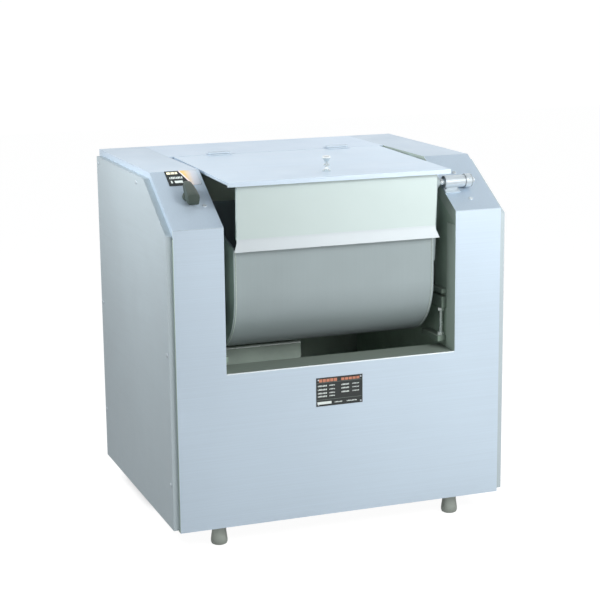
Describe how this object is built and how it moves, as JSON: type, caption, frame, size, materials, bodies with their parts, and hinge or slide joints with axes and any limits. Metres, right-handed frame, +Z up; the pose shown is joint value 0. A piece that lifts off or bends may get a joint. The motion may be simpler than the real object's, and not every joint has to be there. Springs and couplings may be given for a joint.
{
  "type": "horizontal dough mixer",
  "caption": "Floor-standing dough mixer with a tilting U-shaped trough, a hinged lid with a front apron, sheet-steel side boxes, a rotary switch and levelling feet.",
  "frame": {"origin": "on the floor, under the centre of the bounding box", "axes": "+X to the right seen from the front, +Y to the back, +Z up"},
  "size_m": [0.8844, 0.7094, 0.9418],
  "materials": {
    "sheet_steel": "satin",
    "trough_steel": "satin",
    "plate_steel": "rolled",
    "frame_paint": "semi-matte",
    "apron_paint": "gloss",
    "turned_steel": "turned",
    "seal_plastic": "matte",
    "cast_housing": "as cast",
    "bronze": "turned",
    "zinc_steel": "zinc plated",
    "gear_iron": "machined",
    "belt_rubber": "matte",
    "motor_paint": "painted",
    "bright_chrome": "polished",
    "hinge_steel": "satin",
    "black_plastic": "satin",
    "label": "printed",
    "foot_plastic": "matte"
  },
  "bodies": {
    "housing": {"base_frame": "frame_paint", "corner_uprights": "frame_paint", "side_rails": "frame_paint", "cross_beams": "frame_paint", "left_side_plate": "plate_steel", "right_side_plate": "plate_steel", "front_panel": "sheet_steel", "left_box_top": "sheet_steel", "right_box_top": "sheet_steel", "rear_deck": "sheet_steel", "rear_cover": "sheet_steel", "left_side_cover": "sheet_steel", "right_side_cover": "sheet_steel", "trunnion_housings": "cast_housing", "trunnion_bushes": "bronze", "shaft_bearings": "cast_housing", "bearing_bolts": "zinc_steel", "trunnion_supports": "plate_steel", "motor_shield": "sheet_steel", "countershaft_housing": "cast_housing", "countershaft_bearings": "turned_steel", "v_belts": "belt_rubber", "motor_body": "motor_paint", "motor_fan_cover": "motor_paint", "motor_terminal_box": "motor_paint", "motor_plate": "plate_steel", "hinge_deck_leaves": "hinge_steel", "lid_rests": "sheet_steel", "lock_bracket": "bright_chrome", "lock_housing": "bright_chrome", "switch_body": "black_plastic", "switch_plate": "label", "name_plate": "label", "name_plate_rivets": "zinc_steel", "cover_screws": "zinc_steel", "feet": "foot_plastic", "foot_studs": "zinc_steel", "cable_gland": "black_plastic"},
    "trough": {"trough_shell": "trough_steel", "trough_left_end": "trough_steel", "trough_right_end": "trough_steel", "trunnions": "turned_steel", "shaft_seals": "seal_plastic", "trough_latch": "trough_steel"},
    "agitator": {"mixing_shaft": "turned_steel", "paddles": "trough_steel", "drive_gear": "gear_iron"},
    "countershaft_set": {"countershaft": "turned_steel", "pinion": "gear_iron", "large_pulley": "gear_iron"},
    "motor_rotor": {"motor_shaft": "turned_steel", "motor_pulley": "gear_iron"},
    "lid": {"lid_plate": "sheet_steel", "lid_apron": "apron_paint", "apron_lip": "apron_paint", "lid_knob": "bright_chrome", "hinge_lid_leaves": "hinge_steel"},
    "lock_bolt": {"lock_pin": "bright_chrome", "lock_knob": "bright_chrome"},
    "switch_handle": {"switch_knob": "black_plastic"}
  },
  "joints": [
    {"name": "trough_tilt", "type": "hinge", "parent": "housing", "child": "trough", "pos_m": [0, -0.1555, 0.616], "axis": [1, 0, 0], "range_deg": [0, 75]},
    {"name": "lid_hinge", "type": "hinge", "parent": "housing", "child": "lid", "pos_m": [0, 0.104, 0.915], "axis": [-1, 0, 0], "range_deg": [0, 100]},
    {"name": "agitator_spin", "type": "hinge", "parent": "housing", "child": "agitator", "pos_m": [0, -0.1555, 0.616], "axis": [1, 0, 0], "continuous": true},
    {"name": "countershaft_spin", "type": "hinge", "parent": "housing", "child": "countershaft_set", "pos_m": [0, -0.03209, 0.46892], "axis": [1, 0, 0], "continuous": true},
    {"name": "motor_spin", "type": "hinge", "parent": "housing", "child": "motor_rotor", "pos_m": [0, 0.0475, 0.204], "axis": [1, 0, 0], "continuous": true},
    {"name": "lock_slide", "type": "slide", "parent": "housing", "child": "lock_bolt", "axis": [-1, 0, 0], "range_m": [0, 0.012]},
    {"name": "switch_turn", "type": "hinge", "parent": "housing", "child": "switch_handle", "pos_m": [-0.353, -0.2519, 0.85673], "axis": [0, -0.5105, 0.8599], "range_deg": [-45, 45]}
  ],
  "couplings": [
    {"joint": "countershaft_spin", "follows": "agitator_spin", "ratio": -5},
    {"joint": "motor_spin", "follows": "agitator_spin", "ratio": -16.667}
  ]
}
